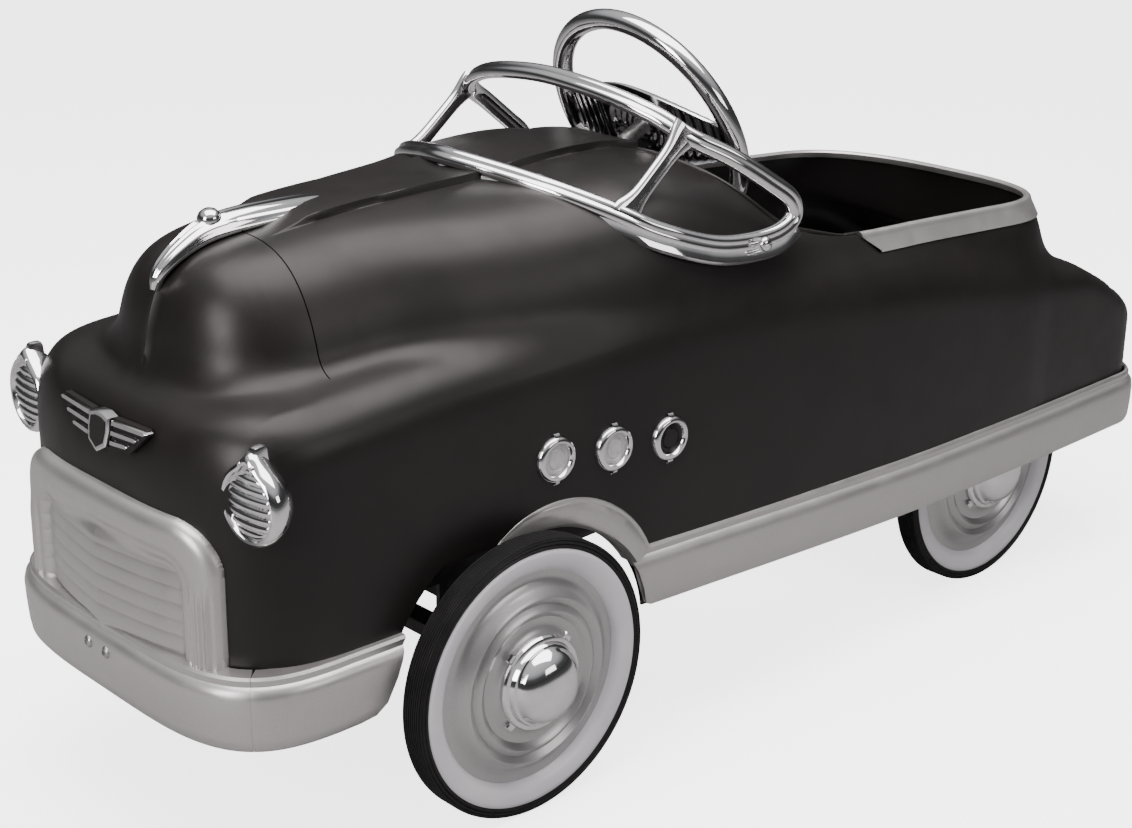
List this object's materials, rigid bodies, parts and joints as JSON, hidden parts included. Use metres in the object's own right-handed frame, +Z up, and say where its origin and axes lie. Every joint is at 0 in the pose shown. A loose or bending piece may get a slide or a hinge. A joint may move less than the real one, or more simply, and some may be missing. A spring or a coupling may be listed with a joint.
{
  "type": "pedal car",
  "caption": "Child's pressed-steel pedal car with an open cockpit, wraparound screen frame, steered front wheels and a pedal-driven cranked rear axle.",
  "frame": {"origin": "middle of the footprint, on the floor the wheels stand on", "axes": "+X forward towards the nose, +Y to the car's left, +Z up"},
  "size_m": [1.0095, 0.394, 0.511],
  "materials": {
    "body_black": "satin black enamel",
    "silver_paint": "silver enamel",
    "chrome": "bright plate",
    "wheel_silver": "silver painted pressed wheel with a white wall band",
    "tyre": "solid rubber",
    "frame_black": "black painted frame steel",
    "steel": "plain steel",
    "pedal_rubber": "moulded rubber",
    "seat_vinyl": "black leathercloth",
    "porthole_disc": "pale disc"
  },
  "bodies": {
    "chassis": {"arch_trim": "silver_paint", "axle_brackets": "frame_black", "body_outriggers": "frame_black", "body_shell": "body_black", "bumper_bolts": "steel", "bumper_ends": "silver_paint", "cockpit_rim_band": "silver_paint", "cross_bars": "frame_black", "dash_bracket": "frame_black", "frame_rails": "frame_black", "front_axle_beam": "frame_black", "front_bumper": "silver_paint", "grille_panel": "silver_paint", "headlight_left": "chrome", "headlight_right": "chrome", "hood_ornament": "chrome", "hood_ridge": "body_black", "kingpins": "steel", "nose_badge": "chrome", "nose_cap": "body_black", "pedal_hanger": "steel", "porthole_discs": "porthole_disc", "porthole_rings": "chrome", "rear_bearings": "frame_black", "rocker_trim": "silver_paint", "seat_pad": "seat_vinyl", "seat_pan": "frame_black", "shaft_bracket": "frame_black", "windshield_frame": "chrome", "windshield_screws": "chrome"},
    "steering": {"steering_shaft": "steel", "steering_rim": "chrome", "steering_hub": "chrome", "steering_cap": "chrome"},
    "tie_rod": {"tie_rod": "frame_black"},
    "knuckle_left": {"knuckle_left": "frame_black", "nut_front_left": "steel"},
    "knuckle_right": {"knuckle_right": "frame_black", "nut_front_right": "steel"},
    "crank": {"crank_axle": "steel", "rear_nuts": "steel"},
    "arm_left": {"pedal_arm_left": "frame_black"},
    "arm_right": {"pedal_arm_right": "frame_black"},
    "pedal_left": {"pedal_left": "pedal_rubber"},
    "pedal_right": {"pedal_right": "pedal_rubber"},
    "rod_left": {"drive_rod_left": "frame_black"},
    "rod_right": {"drive_rod_right": "frame_black"},
    "wheel_front_left": {"tyre_front_left": "tyre", "disc_front_left": "wheel_silver", "hubcap_front_left": "chrome"},
    "wheel_front_right": {"tyre_front_right": "tyre", "disc_front_right": "wheel_silver", "hubcap_front_right": "chrome"},
    "wheel_rear_left": {"tyre_rear_left": "tyre", "disc_rear_left": "wheel_silver", "hubcap_rear_left": "chrome"},
    "wheel_rear_right": {"tyre_rear_right": "tyre", "disc_rear_right": "wheel_silver", "hubcap_rear_right": "chrome"}
  },
  "joints": [
    {"name": "steering_turn", "type": "hinge", "parent": "chassis", "child": "steering", "pos_m": [0.00325, 0, 0.423], "axis": [-0.8988, 0, 0.4384], "range_deg": [-13, 13]},
    {"name": "steer_left", "type": "hinge", "parent": "chassis", "child": "knuckle_left", "pos_m": [0.27125, 0.12, 0.101], "axis": [0, 0, 1], "range_deg": [-6.5, 6.5]},
    {"name": "steer_right", "type": "hinge", "parent": "chassis", "child": "knuckle_right", "pos_m": [0.27125, -0.12, 0.101], "axis": [0, 0, 1], "range_deg": [-6.5, 6.5]},
    {"name": "tie_rod_slide", "type": "slide", "parent": "chassis", "child": "tie_rod", "axis": [0, 1, 0], "range_m": [-0.0069, 0.0069]},
    {"name": "spin_front_left", "type": "hinge", "parent": "knuckle_left", "child": "wheel_front_left", "pos_m": [0.27125, 0.1735, 0.101], "axis": [0, 1, 0], "continuous": true},
    {"name": "spin_front_right", "type": "hinge", "parent": "knuckle_right", "child": "wheel_front_right", "pos_m": [0.27125, -0.1735, 0.101], "axis": [0, 1, 0], "continuous": true},
    {"name": "crank_turn", "type": "hinge", "parent": "chassis", "child": "crank", "pos_m": [-0.28875, 0, 0.101], "axis": [0, 1, 0], "range_deg": [-30, 30]},
    {"name": "spin_rear_left", "type": "hinge", "parent": "crank", "child": "wheel_rear_left", "pos_m": [-0.28875, 0.133, 0.101], "axis": [0, 1, 0], "continuous": true},
    {"name": "spin_rear_right", "type": "hinge", "parent": "crank", "child": "wheel_rear_right", "pos_m": [-0.28875, -0.133, 0.101], "axis": [0, 1, 0], "continuous": true},
    {"name": "pedal_arm_left", "type": "hinge", "parent": "chassis", "child": "arm_left", "pos_m": [0.17625, 0.052, 0.262], "axis": [0, 1, 0], "range_deg": [-9, 9]},
    {"name": "rod_pivot_left", "type": "hinge", "parent": "arm_left", "child": "rod_left", "pos_m": [0.17625, 0.043, 0.122], "axis": [0, 1, 0], "range_deg": [-9, 9]},
    {"name": "pedal_spin_left", "type": "hinge", "parent": "arm_left", "child": "pedal_left", "pos_m": [0.17625, 0.08, 0.122], "axis": [0, 1, 0], "continuous": true},
    {"name": "pedal_arm_right", "type": "hinge", "parent": "chassis", "child": "arm_right", "pos_m": [0.17625, -0.052, 0.262], "axis": [0, 1, 0], "range_deg": [-9, 9]},
    {"name": "rod_pivot_right", "type": "hinge", "parent": "arm_right", "child": "rod_right", "pos_m": [0.17625, -0.043, 0.122], "axis": [0, 1, 0], "range_deg": [-9, 9]},
    {"name": "pedal_spin_right", "type": "hinge", "parent": "arm_right", "child": "pedal_right", "pos_m": [0.17625, -0.08, 0.122], "axis": [0, 1, 0], "continuous": true}
  ],
  "couplings": [
    {"joint": "steer_left", "follows": "steering_turn", "ratio": 0.5},
    {"joint": "steer_right", "follows": "steering_turn", "ratio": 0.5},
    {"joint": "tie_rod_slide", "follows": "steering_turn", "m_per_rad": -0.03},
    {"joint": "pedal_arm_left", "follows": "crank_turn", "ratio": -0.28571},
    {"joint": "pedal_arm_right", "follows": "crank_turn", "ratio": 0.28571},
    {"joint": "rod_pivot_left", "follows": "crank_turn", "ratio": 0.28571},
    {"joint": "rod_pivot_right", "follows": "crank_turn", "ratio": -0.28571}
  ]
}
